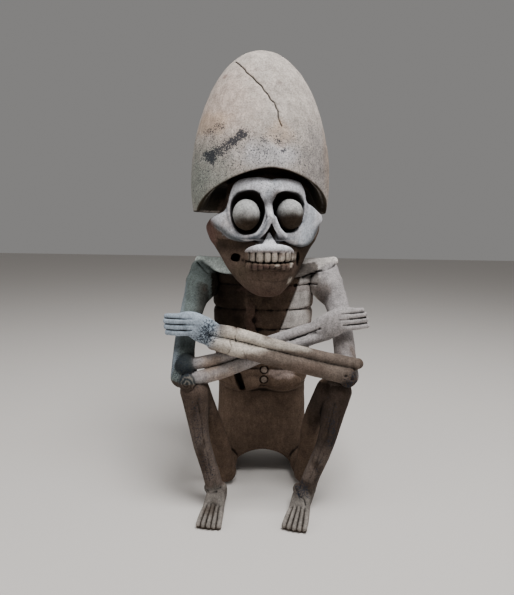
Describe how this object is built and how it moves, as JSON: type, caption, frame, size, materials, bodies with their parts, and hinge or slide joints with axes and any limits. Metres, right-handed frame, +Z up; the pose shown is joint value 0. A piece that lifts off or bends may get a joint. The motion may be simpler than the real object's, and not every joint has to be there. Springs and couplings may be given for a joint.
{
  "type": "ceramic deity figure",
  "caption": "Seated skeletal deity in fired clay under a tall domed cap, squatting with forearms crossed over its knees; stands freely on its feet and seat.",
  "frame": {"origin": "on the ground under the middle of the figure's bounding box", "axes": "+Z up, the figure faces -Y, its own right-hand side is at -X"},
  "size_m": [0.3098, 0.2736, 0.683],
  "materials": {
    "fired_clay": "matt unglazed clay, worn and stained"
  },
  "bodies": {
    "root": {"figure": "fired_clay"}
  },
  "joints": []
}
